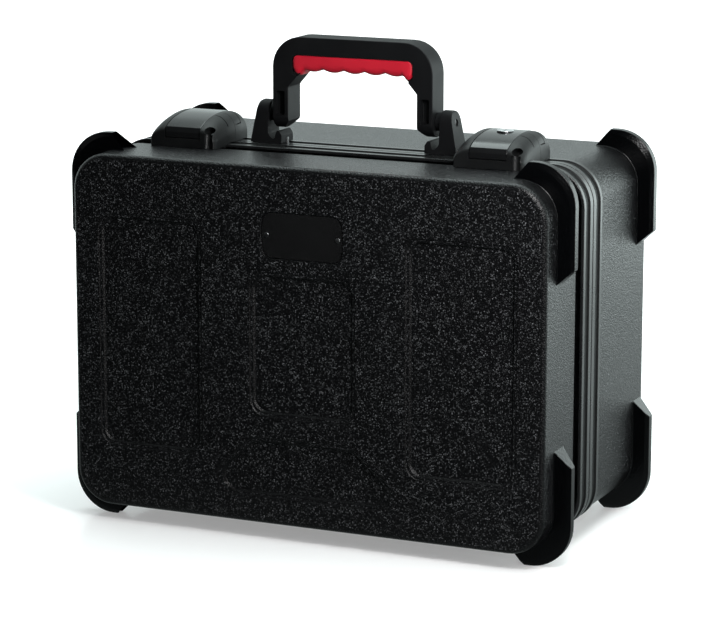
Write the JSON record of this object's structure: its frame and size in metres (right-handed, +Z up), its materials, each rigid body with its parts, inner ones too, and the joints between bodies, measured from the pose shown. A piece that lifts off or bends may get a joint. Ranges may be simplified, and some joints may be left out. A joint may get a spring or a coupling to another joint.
{
  "type": "microphone case",
  "caption": "Moulded carrying case for microphones with a hinged lid, ribbed rim, corner bumpers, folding handle, lever latches and a foam tray of drops.",
  "frame": {"origin": "middle of the footprint, on the surface that the case stands on", "axes": "+X across the case to the right seen from the lid, +Y from the lid's face to the back, +Z up"},
  "size_m": [0.47, 0.25, 0.425],
  "materials": {
    "moulded_shell": "pebbled black moulded polyethylene",
    "valance": "satin black ribbed section",
    "foam": "open cell charcoal foam",
    "plate": "bare black enamel plate",
    "latch_body": "satin dark grey plastic",
    "latch_cover": "polished black plastic",
    "handle_plastic": "fine satin black plastic",
    "grip_rubber": "soft red rubber",
    "black_steel": "black coated steel",
    "lock_metal": "brushed nickel",
    "steel": "zinc plated steel"
  },
  "bodies": {
    "base": {"base_shell": "moulded_shell", "base_valance": "valance", "foam_tray": "foam", "foam_pad": "foam", "latch_housing_left": "latch_body", "latch_housing_right": "latch_body", "latch_pin_left": "steel", "latch_pin_right": "steel", "hinge_leaf_base_left": "black_steel", "hinge_leaf_base_right": "black_steel", "hinge_pin_left": "black_steel", "hinge_pin_right": "black_steel", "handle_bracket_left": "handle_plastic", "handle_bracket_right": "handle_plastic", "handle_pin_left": "steel", "handle_pin_right": "steel", "hinge_rivet_base_1": "black_steel", "hinge_rivet_base_2": "black_steel", "hinge_rivet_base_3": "black_steel", "hinge_rivet_base_4": "black_steel", "housing_screw_1": "steel", "housing_screw_2": "steel", "housing_screw_3": "steel", "housing_screw_4": "steel", "bracket_screw_1": "steel", "bracket_screw_2": "steel", "bracket_screw_3": "steel", "bracket_screw_4": "steel"},
    "lid": {"lid_shell": "moulded_shell", "lid_valance": "valance", "lid_foam": "foam", "name_plate": "plate", "name_plate_rivet_1": "black_steel", "name_plate_rivet_2": "black_steel", "latch_keeper_left": "latch_body", "latch_keeper_right": "latch_body", "hinge_leaf_lid_left": "black_steel", "hinge_leaf_lid_right": "black_steel", "hinge_rivet_lid_1": "black_steel", "hinge_rivet_lid_2": "black_steel", "hinge_rivet_lid_3": "black_steel", "hinge_rivet_lid_4": "black_steel", "keeper_screw_1": "steel", "keeper_screw_2": "steel", "keeper_screw_3": "steel", "keeper_screw_4": "steel"},
    "handle": {"handle_frame": "handle_plastic", "handle_grip": "grip_rubber"},
    "latch_left": {"latch_lever_left": "latch_cover", "latch_hook_left": "steel"},
    "latch_right": {"latch_lever_right": "latch_cover", "latch_hook_right": "steel"},
    "lock": {"lock_cylinder": "lock_metal", "lock_cam": "steel"}
  },
  "joints": [
    {"name": "lid_hinge", "type": "hinge", "parent": "base", "child": "lid", "pos_m": [0, -0.0195, 0.0082], "axis": [1, 0, 0], "range_deg": [0, 110]},
    {"name": "handle_fold", "type": "hinge", "parent": "base", "child": "handle", "pos_m": [0, -0.01, 0.357], "axis": [1, 0, 0], "range_deg": [-98, 98]},
    {"name": "latch_lift_left", "type": "hinge", "parent": "base", "child": "latch_left", "pos_m": [-0.1435, -0.01, 0.3445], "axis": [-1, 0, 0], "range_deg": [0, 100]},
    {"name": "latch_lift_right", "type": "hinge", "parent": "base", "child": "latch_right", "pos_m": [0.1435, -0.01, 0.3445], "axis": [-1, 0, 0], "range_deg": [0, 100]},
    {"name": "lock_turn", "type": "hinge", "parent": "latch_right", "child": "lock", "pos_m": [0.1435, -0.0245, 0.35], "axis": [0, 0, 1], "range_deg": [0, 90]}
  ]
}
